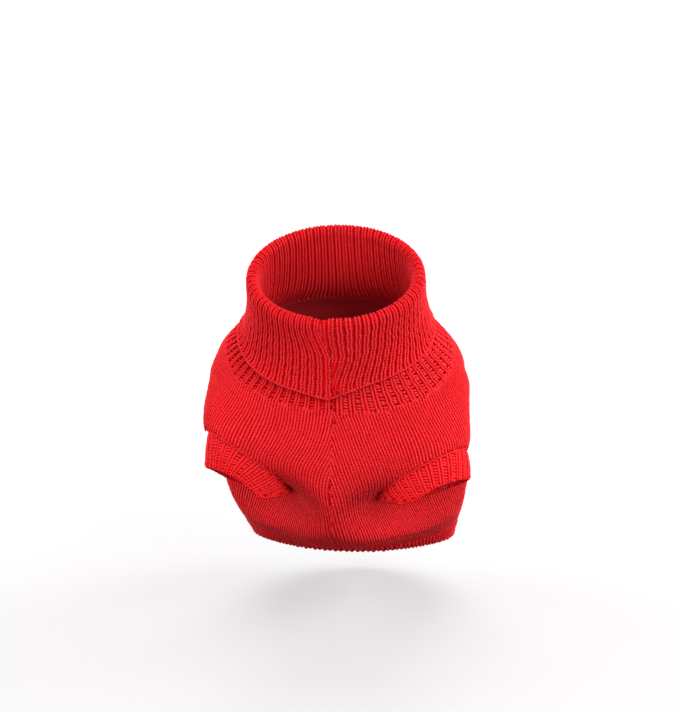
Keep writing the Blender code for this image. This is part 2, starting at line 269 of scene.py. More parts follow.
def wales_at(turn):
    """How many wales lie between the centre front and a turn of 0 to 0.5, at the neck."""
    middle, swing = (WALES_FRONT + WALES_BACK) / 2, (WALES_BACK - WALES_FRONT) / 2
    return middle * turn - swing * np.sin(2 * np.pi * turn) / (2 * np.pi)


def wavering(a, b):
    """Slow uneven waves, for cloth that no hand laid quite straight."""
    return (np.sin(31 * a + 17 * b) + np.sin(53 * a - 29 * b + 1.7) + np.sin(11 * a + 41 * b + 4.1)) / 3


HALF_TURNS = np.linspace(0.0, 0.5, 401)


def dies_out(turns):
    return 1.0 - ease((turns - DRIFT_EVEN) / (DRIFT_GONE - DRIFT_EVEN))


def widening(alongs):
    """How much wider the cloth beside the front seam is at each row than at the first,
    so that the wales there can keep one width."""
    rows = garment_point(*np.meshgrid(HALF_TURNS, alongs))
    reached = np.cumsum(np.linalg.norm(np.diff(rows, axis=1), axis=2), axis=1)
    wider = reached / reached[0]
    return 1.0 + (np.concatenate([wider[:, :1], wider], axis=1) - 1.0) * dies_out(HALF_TURNS)


def half_wales(wales_to, out_of_seam, waver, wider=1.0):
    """The turn of each wale of one half at each row, and its way from the seam in wales."""
    turns = HALF_TURNS
    drift = out_of_seam[:, None] * dies_out(turns)
    rows = np.arange(len(out_of_seam))[:, None] / len(out_of_seam)
    wales = wales_to(turns) * wider - drift + waver * wavering(turns, rows) * np.sin(2 * np.pi * turns)
    middles = np.arange(np.floor(wales[:, 0].min()), np.round(wales[0, -1])) + 0.5
    before_seam = np.minimum(0.0, middles - wales[:, :1]) * turns[1] / (wales[:, 1:2] - wales[:, :1])
    turn = np.array([np.interp(middles, row, turns) for row in wales]) + before_seam
    return turn, middles - wales[:, :1]


def stitch_frames(lines, outward, course_length, *others):
    """For each stitch down each line: its middle, one course down, one wale across at
    right angles to that, the way out, its wale and course, and what others hold there."""
    to_sides = np.gradient(lines, axis=1)
    steps = np.linalg.norm(np.diff(lines, axis=0), axis=2)
    courses = np.concatenate([np.zeros((1, lines.shape[1])), np.cumsum(steps, axis=0)]) / course_length
    found = []
    for wale, reached in enumerate(courses.T):
        at = np.arange(0.5, reached[-1] - 0.2)

        def at_course(values, course):
            return np.stack([np.interp(course, reached, column) for column in values.T], axis=-1)

        place = at_course(lines[:, wale], at)
        down = at_course(lines[:, wale], at + 0.5) - at_course(lines[:, wale], at - 0.5)
        rest = np.stack([np.full(len(at), float(wale)), at - 0.5]
                        + [np.interp(at, reached, other[:, wale]) for other in others], axis=-1)
        found.append(np.concatenate([place, down, at_course(to_sides[:, wale], at), rest], axis=1))
    found = np.concatenate(found)
    middle, down, across = found[:, 0:3], found[:, 3:6], found[:, 6:9]
    straight = unit(down)
    across = across - np.sum(across * straight, axis=1, keepdims=True) * straight
    return [middle, down, across, unit(np.cross(down, across)) * outward] + list(found[:, 9:].T)


# A leg of yarn, drawn out from a ball of four sides: across, along and out of the cloth
LEG_SIDES = ((1.0, 0.0), (0.0, 1.0), (-1.0, 0.0), (0.0, -0.7))
LEG_POINTS = np.array([(0.0, -1.0, -0.45)]
                      + [(x, -0.52, z) for x, z in LEG_SIDES]
                      + [(x, 0.52, z) for x, z in LEG_SIDES]
                      + [(0.0, 1.0, -0.45)])
LEG_FACES = ([(0, 1 + k, 1 + (k + 1) % 4) for k in range(4)]
             + [(1 + k, 5 + k, 5 + (k + 1) % 4, 1 + (k + 1) % 4) for k in range(4)]
             + [(9, 5 + (k + 1) % 4, 5 + k) for k in range(4)])
# The same corners on the leg's own patch of the yarn's map
PATCH_SIDES = ((0.04, 0.27), (0.27, 0.50), (0.50, 0.73), (0.73, 0.96))
PATCH_FOOT, PATCH_LOW, PATCH_HIGH, PATCH_HEAD = 0.04, 0.28, 0.72, 0.96
LEG_PATCH = np.array(
    [corner for here, there in PATCH_SIDES
     for corner in (((here + there) / 2, PATCH_FOOT), (here, PATCH_LOW), (there, PATCH_LOW))]
    + [corner for here, there in PATCH_SIDES
       for corner in ((here, PATCH_LOW), (here, PATCH_HIGH), (there, PATCH_HIGH), (there, PATCH_LOW))]
    + [corner for here, there in PATCH_SIDES
       for corner in (((here + there) / 2, PATCH_HEAD), (there, PATCH_HIGH), (here, PATCH_HIGH))])


def yarn_piece(name, parts, material):
    """One mesh of many legs. Each part holds, for each of its legs: the middle, the half width, length and
    height as vectors, the column and row of its patch, and its shade, a lightness that varies at random and
    on some purl bars adds painted light or painted shade."""
    first_column = 0
    for part in parts:
        part[4] = part[4] - part[4].min() + first_column
        first_column = part[4].max() + 1
    middle, width, length, height, column, row, shade = (np.concatenate(values) for values in zip(*parts))
    count = len(middle)
    width = width * np.sign(np.sum(np.cross(width, length) * height, axis=1))[:, None]
    points = (middle[:, None] + LEG_POINTS[:, 0, None] * width[:, None]
              + LEG_POINTS[:, 1, None] * length[:, None] + LEG_POINTS[:, 2, None] * height[:, None])
    sizes = np.array([len(face) for face in LEG_FACES])
    corners = np.concatenate([np.array(face) for face in LEG_FACES])
    mesh = bpy.data.meshes.new(name)
    mesh.vertices.add(len(LEG_POINTS) * count)
    mesh.vertices.foreach_set("co", (points * MM).ravel())
    mesh.loops.add(len(corners) * count)
    mesh.loops.foreach_set("vertex_index", (corners + len(LEG_POINTS) * np.arange(count)[:, None]).ravel())
    mesh.polygons.add(len(LEG_FACES) * count)
    mesh.polygons.foreach_set("loop_start", (np.cumsum(sizes) - sizes
                                             + len(corners) * np.arange(count)[:, None]).ravel())
    columns, rows = column.max() + 1, row.max() + 1
    patch = np.stack([(column[:, None] + LEG_PATCH[:, 0]) / columns,
                      (row[:, None] + LEG_PATCH[:, 1]) / rows], axis=-1)
    mesh.uv_layers.new(name="OFBake").uv.foreach_set("vector", patch.ravel())
    mesh.uv_layers.new(name="strand").uv.foreach_set("vector", np.tile(LEG_PATCH, (count, 1)).ravel())
    # crest, a point's height on its leg, is what the yarn's colour paints its highlight and shade by.
    crest = mesh.attributes.new("crest", "FLOAT", "POINT")
    crest.data.foreach_set("value", np.tile(np.clip(LEG_POINTS[:, 2], 0, 1), count))
    shades = mesh.attributes.new("shade", "FLOAT", "POINT")
    shades.data.foreach_set("value", np.repeat(shade, len(LEG_POINTS)))
    mesh.update(calc_edges=True)
    mesh.polygons.foreach_set("use_smooth", np.ones(len(mesh.polygons), dtype=bool))
    mesh.materials.append(material)
    piece = bpy.data.objects.new(name, mesh)
    bpy.context.scene.collection.objects.link(piece)
    return piece


def knit_legs(frames, rng, from_seam, place=0.25, width=0.27, lean=0.09, length=1.0, height=0.65, apex=1.0):
    """Two legs a stitch, which lean together towards the foot of its V."""
    middle, down, across, out, wale, course = frames[:6]
    parts = []
    for side in (-1.0, 1.0):
        kept = from_seam + side * place > 0.0
        jitter = rng.normal(size=(len(middle), 3)) * kept[:, None]
        size = 1 + 0.05 * jitter[:, :1]
        at = middle + across * side * place + down * 0.06 * jitter[:, 1:2] + out * 0.04 * jitter[:, 2:3]
        leg = [at, across * width * size, down * length * size - across * side * lean * apex,
               out * height * size, 2 * wale + (side > 0), course, rng.random(len(middle))]
        parts.append([values[kept] for values in leg])
    return [np.concatenate(values) for values in zip(*parts)]


def chain(curve, out, step, thick, rng, tilt=0.25, swing=0.0):
    """Loops that follow a curve nose to tail, as along a bound edge. With a swing they
    go from side to side of it, as seam stitches do."""
    reached = np.concatenate([[0.0], np.cumsum(np.linalg.norm(np.diff(curve, axis=0), axis=1))])
    count = max(2, int(round(reached[-1] / step)))
    at = (np.arange(count) + 0.5) * reached[-1] / count
    place, way_out, ahead = (np.stack([np.interp(at, reached, column) for column in values.T], axis=-1)
                             for values in (curve, out, np.gradient(curve, reached, axis=0)))
    ahead = unit(ahead)
    sideways = np.cross(ahead, way_out)
    turned = np.where(np.arange(count) % 2, 1.0, -1.0)[:, None] if swing else 1.0
    size = 1 + 0.1 * rng.normal(size=(count, 1))
    return [place + sideways * turned * swing, sideways * thick * size,
            (ahead + sideways * tilt * turned) * step * CHAIN_LENGTH, way_out * thick * size,
            np.arange(count) // CHAIN_ROWS, np.arange(count) % CHAIN_ROWS, rng.random(count)]


# Yarn colours, with light and shade painted in: the red at the crest of a leg carries a painted highlight,
# the red deep between two legs a painted shade, and deep between the legs of the cuffs and hem, which are
# stretched open, a lighter painted shade
YARN_CREST_HIGHLIGHT, YARN_DEEP_SHADE, OPEN_DEEP_SHADE = (0.88, 0.062, 0.078), (0.75, 0.0004, 0.003), (0.90, 0.0004, 0.003)


class Socket:
    """A shader value that Python's own signs work on."""

    def __init__(self, nodes, socket):
        self.nodes, self.socket = nodes, socket

    def math(self, operation, other=None):
        return self.nodes.add("ShaderNodeMath", {"operation": operation}, {0: self, 1: other})[0]

    def __add__(self, other):
        return self.math("ADD", other)

    def __mul__(self, other):
        return self.math("MULTIPLY", other)

    __radd__, __rmul__ = __add__, __mul__


class Finish:
    """A named material whose nodes are added one call at a time."""

    def __init__(self, name, roughness, sheen=0.0, specular=0.02):
        self.material = bpy.data.materials.new(name)
        self.material.use_nodes = True
        self.tree = self.material.node_tree
        self.shader = self.tree.nodes["Principled BSDF"]
        self.shader.inputs["Roughness"].default_value = roughness
        self.shader.inputs["Sheen Weight"].default_value = sheen
        self.shader.inputs["Sheen Roughness"].default_value = 0.5
        self.shader.inputs["Sheen Tint"].default_value = (1.0, 0.35, 0.42, 1.0)
        self.shader.inputs["Specular IOR Level"].default_value = specular

    def add(self, kind, settings, values):
        """A node of a kind, its settings set first, then its inputs by name or number."""
        node = self.tree.nodes.new(kind)
        for key, value in settings.items():
            setattr(node, key, value)
        for key, value in values.items():
            if isinstance(value, Socket):
                self.tree.links.new(value.socket, node.inputs[key])
            elif value is not None:
                node.inputs[key].default_value = value
        return [Socket(self, output) for output in node.outputs]

    def attribute(self, name):
        return self.add("ShaderNodeAttribute", {"attribute_name": name}, {})[2]

    def noise(self, scale, detail=2.0):
        place = self.add("ShaderNodeTexCoord", {}, {})[3]
        return self.add("ShaderNodeTexNoise", {}, {"Vector": place, "Scale": scale, "Detail": detail})[0]

    def blend(self, share, low, high):
        colours = {6: (*low, 1), 7: (*high, 1)}
        return self.add("ShaderNodeMix", {"data_type": "RGBA"}, {"Factor": share, **colours})[2]

    def feed(self, name, value):
        self.tree.links.new(value.socket, self.shader.inputs[name])

    def bump(self, height, distance):
        self.feed("Normal", self.add("ShaderNodeBump", {}, {"Height": height, "Distance": distance})[0])


def yarn_finish(name, crest_highlight_colour, deep_shade_colour):
    """Matt two-ply acrylic, slightly fuzzy, whose colour has light and shade painted in: painted shade in
    the gaps, a painted highlight on its crests.
    """
    yarn = Finish(name, roughness=0.8, sheen=0.04)
    crest = yarn.attribute("crest")
    # painted light: the colour runs from the shade colour at a leg's sides and ends to the highlight colour
    # at its top, with some random variation
    share = crest * crest * crest * (yarn.attribute("shade") * 0.2 + yarn.noise(55.0) * 0.2 + 0.75)
    yarn.feed("Base Color", yarn.blend(share, deep_shade_colour, crest_highlight_colour))
    strand = yarn.add("ShaderNodeUVMap", {"uv_map": "strand"}, {})[0]
    across, along = yarn.add("ShaderNodeSeparateXYZ", {}, {0: strand})[:2]
    plies = (along * 15.0 + across * 6.0).math("SINE")
    yarn.bump(plies * 0.5 + yarn.noise(2600.0) * 0.9, 0.00012)
    return yarn.material


def backing_finish(name, ribbed):
    """The cloth behind the raised legs: its outside is painted shade, deep red where little light comes,
    and on the inside the bumps of the stitches' backs, in rows, or in ribs, are painted lighter on top and
    darker between, as painted light and shade."""
    backing = Finish(name, roughness=0.9, sheen=0.05)
    wale, course = backing.attribute("wale") * 6.2832, backing.attribute("course") * 6.2832
    if ribbed:
        bumps = wale.math("COSINE") + (course + wale * 0.5).math("SINE") * 0.3
    else:
        bumps = (course + wale.math("SINE") * 1.2).math("SINE")
    # painted shade on the outside; on the inside painted light and shade on the bumps, with random noise
    lit = backing.attribute("inside") * (bumps * 0.35 + 0.6 + backing.noise(60.0) * 0.2)
    backing.feed("Base Color", backing.blend(lit, YARN_DEEP_SHADE, YARN_CREST_HIGHLIGHT))
    backing.bump(bumps + backing.noise(2000.0) * 0.6, 0.0004)
    return backing.material


def cloth_wall(name, points, faces, attributes, material):
    """A closed thin wall of cloth. attributes names a value for each of its points."""
    mesh = bpy.data.meshes.new(name)
    mesh.from_pydata((points * MM).tolist(), [], faces)
    mesh.validate()
    mesh.polygons.foreach_set("use_smooth", np.ones(len(mesh.polygons), dtype=bool))
    for key, values in attributes.items():
        values = np.asarray(values, dtype=float)
        mesh.attributes.new(key, "FLOAT", "POINT").data.foreach_set("value", values)
    mesh.materials.append(material)
    piece = bpy.data.objects.new(name, mesh)
    bpy.context.scene.collection.objects.link(piece)
    return piece


def panel_sheet(front_steps, arm_steps, back_steps, upper_steps, lower_steps):
    """The panel's turn and along values and its faces, in two bands that part at the armholes."""
    near_hole = ARM_TURN + ARM_HALF_TURN * np.cos(np.linspace(np.pi, 0.0, arm_steps + 1))
    far_hole = 1.0 - near_hole[::-1]
    to_front = np.linspace(0.0, near_hole[0], front_steps + 1)[:-1]
    over_back = np.linspace(near_hole[-1], far_hole[0], back_steps + 1)[1:-1]
    turns = np.concatenate([to_front, near_hole, over_back, far_hole, 1.0 - to_front[::-1]])
    near_turns = np.minimum(turns, 1.0 - turns)
    reach = np.clip(1.0 - ((near_turns - ARM_TURN) / ARM_HALF_TURN)**2, 0.0, None)
    opening = ARM_HALF_ALONG * np.sqrt(np.where(reach < 1e-9, 0.0, reach))
    index, places, faces = {}, [], []
    for band, steps in (("upper", upper_steps), ("lower", lower_steps)):
        for step in range(steps + 1):
            for column, turn in enumerate(turns):
                if band == "lower" and step == 0 and opening[column] == 0.0:
                    index[band, step, column] = index["upper", upper_steps, column]
                    continue
                low, high = ((NECK_SEAM, ARM_ALONG - opening[column]) if band == "upper"
                             else (ARM_ALONG + opening[column], HEM_SEAM))
                index[band, step, column] = len(places)
                places.append((turn, low + (high - low) * step / steps))
        faces += [(index[band, step, column], index[band, step + 1, column],
                   index[band, step + 1, column + 1], index[band, step, column + 1])
                  for step in range(steps) for column in range(len(turns) - 1)]
    return np.array(places), faces


def panel_backing():
    places, faces = panel_sheet(front_steps=14, arm_steps=36, back_steps=84, upper_steps=26, lower_steps=34)
    turn, along = places.T
    sheet = garment_point(turn, along)
    out = np.zeros_like(sheet)
    for face in faces:
        a, b, c, d = (sheet[corner] for corner in face)
        out[list(face)] += np.cross(c - a, d - b)
    at_seam = (turn == 0.0) | (turn == 1.0)
    out[at_seam, 0] = 0.0
    out = unit(out)
    sheet[at_seam, 0] += np.where(turn[at_seam] == 0.0, SEAM_GAP, -SEAM_GAP)
    lift = -crease_depth(turn, along)
    dip = np.minimum(seam_dip(turn, along), BACKING_DIP)
    points = np.concatenate([sheet + out * (lift + BACKING_OUT - dip)[:, None],
                             sheet + out * (lift + BACKING_IN)[:, None]])
    count = len(sheet)
    directed = {(face[k], face[(k + 1) % 4]) for face in faces for k in range(4)}
    rims = [(b, a, a + count, b + count) for a, b in sorted(directed) if (b, a) not in directed]
    inside = [tuple(corner + count for corner in reversed(face)) for face in faces]
    wale = np.where(turn > 0.5, 2 * wales_at(0.5) - wales_at(1.0 - turn), wales_at(turn))
    course = along * (FRONT_LENGTH + 50.0 * np.sin(np.pi * turn)) / COURSE
    return cloth_wall("panel_backing", points, faces + inside + rims,
                      {"wale": np.tile(wale, 2), "course": np.tile(course, 2),
                       "inside": np.repeat([0.0, 1.0], count)},
                      backing_finish("panel_backing", ribbed=False))


rng = np.random.default_rng(7)
panel_yarn = yarn_finish("panel_yarn", YARN_CREST_HIGHLIGHT, YARN_DEEP_SHADE)
alongs = np.linspace(NECK_SEAM - 0.006, HEM_SEAM + 0.004, 421)
panel_pieces = []
for side, side_name in ((1.0, "left"), (-1.0, "right")):
    came_out = smooth_table(SEAM_WALES, alongs)[:, 0 if side < 0 else 1]
    turn, from_seam = half_wales(wales_at, came_out, 0.35, widening(alongs))
    turn = turn if side > 0 else 1.0 - turn
    along = np.broadcast_to(alongs[:, None], turn.shape)
    lines = above_cloth(turn, along, YARN_OUT - seam_dip(turn, along) - crease_depth(turn, along))
    frames = stitch_frames(lines, side, COURSE, from_seam, armhole_distance(turn, along)[0])
    beside_hole = frames[7] > BESIDE_HOLE
    frames = [values[beside_hole] for values in frames]
    parts = [knit_legs(frames, rng, frames[6])]
    round_hole = np.linspace(0.0, 2 * np.pi, 241)
    hole_turn, hole_along = armhole_place(round_hole)
    hole_turn = hole_turn if side > 0 else 1.0 - hole_turn
    hole_out = 0.6 - 0.7 * np.clip(np.cos(round_hole - np.radians(ARM_RING_TILT)), 0, 1)
    parts.append(chain(above_cloth(hole_turn, hole_along, hole_out),
                       garment_normal(hole_turn, hole_along), 1.3, 1.0, rng, tilt=0.12))
    if side > 0:
        seam_alongs = np.linspace(NECK_SEAM + 0.008, HEM_SEAM, 301)
        parts.append(chain(above_cloth(0.0, seam_alongs, -0.1), garment_normal(0.0, seam_alongs),
                           1.7, 0.6, rng, tilt=0.7, swing=0.35))
    panel_pieces.append(yarn_piece(f"panel_yarn_{side_name}", parts, panel_yarn))
panel = panel_backing()
for piece in [panel] + panel_pieces:
    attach(piece, "root")
    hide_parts("body")

# ---------------------------------------------------------------------------------
# Collar: a tube of one-and-one rib in the same yarn, knitted on at the neck seam. It
# stands up round the neck, folds outward at the top and hangs down over itself to a
# bound-off edge, whose two ends meet in a point at the front seam.
# ---------------------------------------------------------------------------------
RIBS_NECK = 68
RIB_COURSE = 1.75
STAND_TOP = COLLAR_FOLD + 0.02
FOLD_MIDDLE = 1.75                     # from the stand's middle to the middle of the fold
FOLD_YARN, FOLD_OUTSIDE, FOLD_INSIDE = 2.7, 2.35, 1.75
FLAP_EDGE = (
    # turn from the centre front, along: the V's point hangs lowest
    (-0.500, -0.060),
    (-0.250, -0.052),
    (-0.160, -0.047),
    (-0.120, -0.046),
    (-0.060, -0.046),
    (-0.007, -0.038),
    (0.020, -0.0525),
    (0.060, -0.070),
    (0.120, -0.077),
    (0.250, -0.072),
    (0.500, -0.060),
)
# Ribs on the wearer's left that have come out of the flap's seam at the fold, and that
# have run into it by the edge
FLAP_RIBS_GAINED, FLAP_RIBS_LOST = 0.85, 1.4
FLAP_SEAM_SHIFT, FLAP_SEAM_DIP = 0.020, 1.1      # the seam's swing at the fold, and its depth
FLAP_SEAM_FOOT = -0.046                # where that seam ends, at the point
ZIGZAG, ZIGZAG_WAVES, ZIGZAG_STEP = 0.00055, 6.0, 0.31     # the flap's ribs waver from side to side
BAND_SWING_LEFT, BAND_SWING_RIGHT = 3.18, 1.43   # how much the front of the neck is stretched
POCKET_LEFT, POCKET_RIGHT = 0.0, 0.60            # how much deeper the band's purls lie under the flap
# How far the stand's yarn, the bound-off edge and the knot lie above the cloth's middle
BAND_OUT, EDGE_OUT, KNOT_OUT = 0.85, 4.35, 5.5
WALL_COLUMNS = 272                     # steps round the collar's backing, and round the hem's


def flap_edge(turn):
    """Where the collar's hanging layer ends: nearly level, with a V at the front."""
    return np.interp((turn + 0.5) % 1.0 - 0.5, *np.transpose(FLAP_EDGE))


def collar_steps(stand_steps, fold_steps, flap_steps):
    """The steps of the way up the stand, over the fold and down the flap: the along that
    each starts from, its share of the fold's height, its share of the flap, its swing."""
    stand, fold, flap = (np.linspace(0, 1, steps + 1) for steps in (stand_steps, fold_steps, flap_steps))
    fold = np.pi * fold[1:-1]
    start = np.concatenate([NECK_SEAM - 0.003 + (STAND_TOP - NECK_SEAM + 0.003) * stand,
                            np.full(len(fold) + len(flap), STAND_TOP)])
    rise = np.concatenate([0 * stand, np.sin(fold), 0 * flap])
    hang = np.concatenate([0 * stand, 0 * fold, flap])
    swing = np.concatenate([-np.ones(len(stand)), -np.cos(fold), np.ones(len(flap))])
    return start, rise, hang, swing


def collar_points(turn, steps, radius):
    """The collar's surface that lies this far from the middle of its fold."""
    start, rise, hang, swing = (values[:, None] for values in steps)
    along = (start - (STAND_TOP - COLLAR_FOLD) * rise * radius / FOLD_YARN
             + (flap_edge(turn) - STAND_TOP) * hang)
    return above_cloth(turn, along, FOLD_MIDDLE + radius * swing)


def ring_wall(name, loops, wales, inside, material):
    """A closed wall round an opening, from the loops that its section passes through."""
    count, columns = len(loops), len(loops[0])
    faces = [(row * columns + column, row * columns + (column + 1) % columns,
              (row + 1) % count * columns + (column + 1) % columns, (row + 1) % count * columns + column)
             for row in range(count) for column in range(columns)]
    return cloth_wall(name, np.concatenate(loops), faces,
                      {"wale": np.tile(np.arange(columns) * wales / columns, count),
                       "course": np.repeat(np.arange(count) * 1.0, columns),
                       "inside": np.repeat(inside, columns)}, material)


def purl_bars(frames, rng, from_seam, place=0.5, reach=0.2, tilt=0.2, thick=0.40, sunk=0.9,
              height=0.5, painted_light=0.0):
    """The bars that cross the sunk purl wale beside each raised one."""
    middle, down, across, out, wale, course = frames[:6]
    kept = from_seam + place > 0.0
    jitter = rng.normal(size=(len(middle), 2))
    depth = np.reshape(sunk, (-1, 1)) + 0.06 * jitter[:, :1]
    at = middle + across * place - out * depth + down * 0.06 * jitter[:, 1:2]
    # The last value is the bar's shade: random, plus painted light (above 0) or painted shade (below 0),
    # laid on every bar alike.
    bar = [at, down * thick, across * reach + down * tilt, out * height,
           wale, course, rng.random(len(middle)) * 0.6 + painted_light]
    return [values[kept] for values in bar]


def swung_over(turn, hang):
    """The flap's ribs near its seam lean to the wearer's right towards the fold."""
    near = np.exp(-(np.minimum(turn, 1.0 - turn) / 0.08)**2)
    return (turn - FLAP_SEAM_SHIFT * near * (1.0 - ease(hang / 0.5))) % 1.0


collar_yarn = yarn_finish("collar_yarn", YARN_CREST_HIGHLIGHT, YARN_DEEP_SHADE)
steps = collar_steps(stand_steps=40, fold_steps=14, flap_steps=40)
collar_parts = {1.0: [], -1.0: []}
for side in (1.0, -1.0):
    # over the fold and down the flap
    gained = FLAP_RIBS_GAINED * (1.0 - ease(steps[2] / 0.5)) - FLAP_RIBS_LOST * ease(steps[2] * 1.6 - 0.6)
    turn, from_seam = half_wales(lambda t: RIBS_NECK * t, gained if side > 0 else 0 * gained, 0.12)
    waves = steps[2][:, None] * ZIGZAG_WAVES + ZIGZAG_STEP * np.arange(turn.shape[1])
    turn = turn + ZIGZAG * np.sin(2 * np.pi * waves)
    turn = swung_over(turn if side > 0 else 1.0 - turn, steps[2][:, None])
    radius = FOLD_YARN - FLAP_SEAM_DIP * np.exp(-(from_seam / 0.6)**2)
    frames = stitch_frames(collar_points(turn, steps, radius), side, RIB_COURSE, from_seam)
    collar_parts[side].append(knit_legs(frames, rng, frames[6], place=0.215, width=0.235, lean=0.04,
                                        length=1.0, height=0.75, apex=-1.0))
    collar_parts[side].append(purl_bars(frames, rng, frames[6], reach=0.2, sunk=0.75, height=0.4))
    # the stand's outside, from under the flap down to the seam
    shares = np.linspace(0.0, 1.0, 60)
    swing = BAND_SWING_LEFT if side > 0 else BAND_SWING_RIGHT
    turn, from_seam = half_wales(lambda t: RIBS_NECK * t - swing * np.sin(2 * np.pi * t), 0 * shares, 0.1)
    turn = turn if side > 0 else 1.0 - turn
    top = flap_edge(turn) - 0.05
    along = top + (NECK_SEAM + 0.004 - top) * shares[:, None]
    under_flap = along / flap_edge(turn)
    frames = stitch_frames(above_cloth(turn, along, BAND_OUT), side, COURSE, from_seam, under_flap)
    sunk = 0.45 + (POCKET_RIGHT if side < 0 else POCKET_LEFT) * ease((frames[7] - 0.35) / 0.4)
    collar_parts[side].append(knit_legs(frames, rng, frames[6], place=0.155, width=0.165, lean=0.04,
                                        height=0.75))
    # Painted light and shade on the band's purl bars: painted shade on the wearer's right, under the flap's
    # edge, and painted light on the wearer's left, on the key lamp's side.
    thick, painted_light = (0.42, -0.8) if side < 0 else (0.56, 2.5)
    collar_parts[side].append(purl_bars(frames, rng, frames[6], reach=0.27, tilt=0.3, thick=thick,
                                        sunk=sunk, painted_light=painted_light))
    # half of the bound-off edge
    edge_turn = np.linspace(0.0 if side > 0 else 1.0, 0.5, 200)
    edge_along = flap_edge(edge_turn)
    collar_parts[side].append(chain(above_cloth(edge_turn, edge_along, EDGE_OUT),
                                    garment_normal(edge_turn, edge_along), 1.7, 1.0, rng, tilt=-0.3 * side))
# the seam that closes the ribs at the front: down the flap, then down the stand
for top, foot, out, thick in ((STAND_TOP, FLAP_SEAM_FOOT, 3.7, 0.6), (-0.08, 0.012, 0.5, 0.8)):
    seam_steps = np.linspace(top, foot, 80)
    flap_hang = np.clip((seam_steps - STAND_TOP) / (FLAP_SEAM_FOOT - STAND_TOP), 0, 1)
    seam_turn = swung_over(0.0, flap_hang if top == STAND_TOP else 1.0)
    collar_parts[1.0].append(chain(above_cloth(seam_turn, seam_steps, out),
                                   garment_normal(seam_turn, seam_steps), 1.8, thick, rng,
                                   tilt=0.6, swing=0.35))
# the end of the seam's yarn, looped and drawn tight above the point
round_knot = np.linspace(0.0, 2 * np.pi, 25)
knot_turn, knot_along = 0.009 + 0.0058 * np.cos(round_knot), -0.0565 - 0.0065 * np.sin(round_knot)
collar_parts[1.0].append(chain(above_cloth(knot_turn, knot_along, KNOT_OUT),
                               garment_normal(knot_turn, knot_along), 1.0, 0.6, rng, tilt=0.1))
collar_pieces = [yarn_piece("collar_yarn_left", collar_parts[1.0], collar_yarn),
                 yarn_piece("collar_yarn_right", collar_parts[-1.0], collar_yarn)]
wall_turns = np.arange(WALL_COLUMNS) / WALL_COLUMNS
steps = collar_steps(stand_steps=12, fold_steps=12, flap_steps=10)
turn = np.broadcast_to(wall_turns, (len(steps[0]), WALL_COLUMNS))
outside, inner = collar_points(turn, steps, FOLD_OUTSIDE), collar_points(turn, steps, FOLD_INSIDE)
collar = ring_wall("collar_backing", list(inner) + list(outside[::-1]), RIBS_NECK,
                   np.zeros(2 * len(outside)), backing_finish("collar_backing", ribbed=True))
for piece in [collar] + collar_pieces:
    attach(piece, "root")
    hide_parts("collar")

# ---------------------------------------------------------------------------------
# Leg cuffs: two short tubes of rib, picked up round the armholes. Each carries the
# panel's edge on down the foreleg, and ends in a bound-off edge.
# ---------------------------------------------------------------------------------
RIBS_CUFF = 24
CUFF_EDGE_RING = ((48.2, -31.2, -69.1), (22.6, 0.0, 8.4), (-3.0, -24.6, 1.2), 11.0)
CUFF_BULGE, CUFF_SLANT, CUFF_SLANT_SWING = 0.3, 19.0, 16.0
CUFF_COLUMNS, CUFF_ROWS = 120, (0.01, 0.15, 0.4, 0.7, 1.0)     # of a cuff's backing
CUFF_ROUND = 0.95                      # the share where the ribs start to go round the edge
FAR_FROM_SEAM = 9.0                    # in wales, for ribs that no seam cuts short


def cuff_sheet(angle, share):
    """The middle of the left leg's cuff, from its seam (share 0) to its edge (1)."""
    slanted = angle - np.radians(CUFF_SLANT - CUFF_SLANT_SWING * np.cos(angle))
    seam, edge = ring_point(ARM_SEAM_RING, angle), ring_point(CUFF_EDGE_RING, slanted)
    middle = (np.array(ARM_SEAM_RING[0]) * (1 - share)[..., None]
              + np.array(CUFF_EDGE_RING[0]) * share[..., None])
    points = seam + (edge - seam) * share[..., None]
    return points + unit(points - middle) * (CUFF_BULGE * 4 * share * (1 - share))[..., None]


def cuff_normal(angle, share):
    step = 0.02
    down = cuff_sheet(angle, share + step) - cuff_sheet(angle, share - step)
    round_it = cuff_sheet(angle - step, share) - cuff_sheet(angle + step, share)
    return unit(np.cross(down, round_it))


# How far each cuff comes down, as a share of its full length
CUFF_REACH = (
    # degrees round from the outer side by way of the front, wearer's left, wearer's right
    (0.0,   0.88, 1.14),
    (45.0,  0.82, 1.02),
    (75.0,  0.82, 0.92),
    (100.0, 0.90, 0.92),
    (120.0, 1.02, 1.02),
    (140.0, 1.05, 1.18),
    (155.0, 0.90, 1.26),
    (168.0, 0.70, 1.00),
    (182.0, 0.58, 0.60),
    (200.0, 0.56, 0.52),
    (240.0, 0.70, 0.74),
    (300.0, 0.80, 1.02),
    (360.0, 0.88, 1.14),
)
# How far each cuff stands out at its outer side, at the seam and at the edge
CUFF_SPREAD = {1.0: (0.2, 1.0), -1.0: (-1.9, -0.7)}
# The ribs run outward on their way down, by this part of the whole way round
CUFF_LEAN = (
    # degrees round, turns on the wearer's left, on the wearer's right
    (0.0,   0.0,   0.0),
    (45.0,  0.0,   0.008),
    (90.0,  0.002, 0.030),
    (135.0, 0.006, 0.045),
    (180.0, 0.008, 0.045),
    (240.0, 0.0,   0.02),
    (300.0, 0.0,   0.0),
    (360.0, 0.0,   0.0),
)


